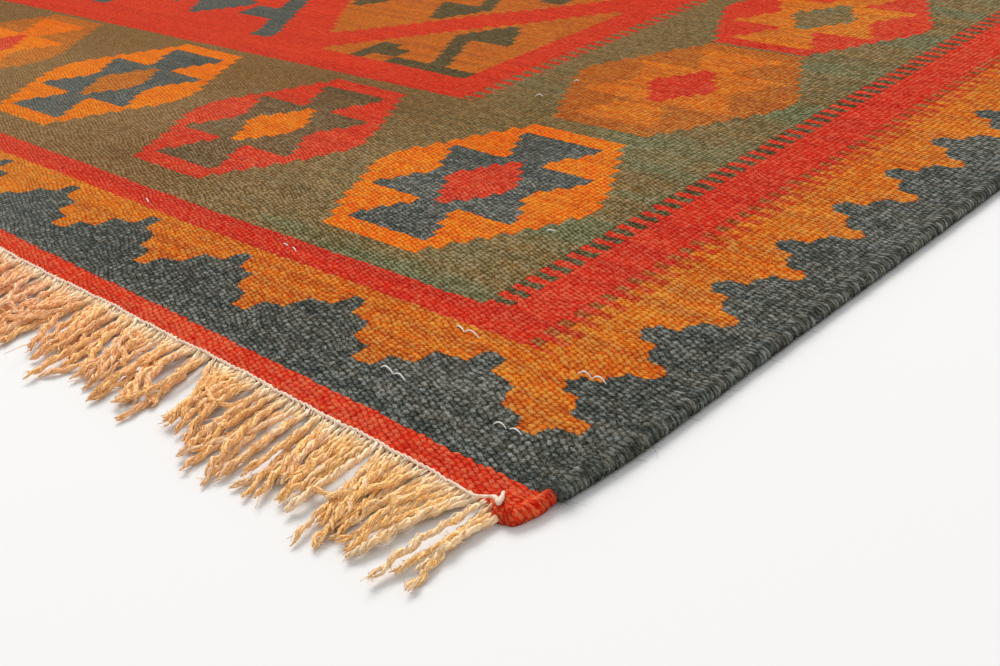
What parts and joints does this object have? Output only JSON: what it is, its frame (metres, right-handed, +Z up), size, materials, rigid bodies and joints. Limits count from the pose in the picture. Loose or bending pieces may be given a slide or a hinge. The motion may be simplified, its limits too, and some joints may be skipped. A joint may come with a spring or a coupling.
{
  "type": "kilim rug",
  "caption": "Flat-woven wool kilim rug with stepped borders, hexagon medallions, a hooked lattice field, dark overcast selvedges and a knotted-out fringe at each end.",
  "frame": {"origin": "on the floor under the middle of the rug, fringes included", "axes": "+Y along the warps from the near fringe to the far one, +X across the rug, +Z up"},
  "size_m": [1.43, 2.362, 0.0068],
  "materials": {
    "kilim_wool": "matte weft-faced wool",
    "selvedge_wool": "matte overcast wool",
    "fringe_yarn": "matte twisted yarn"
  },
  "bodies": {
    "root": {"rug_cloth": "kilim_wool", "selvedge_right": "selvedge_wool", "selvedge_left": "selvedge_wool", "fringe_near": "fringe_yarn", "fringe_far": "fringe_yarn"}
  },
  "joints": []
}
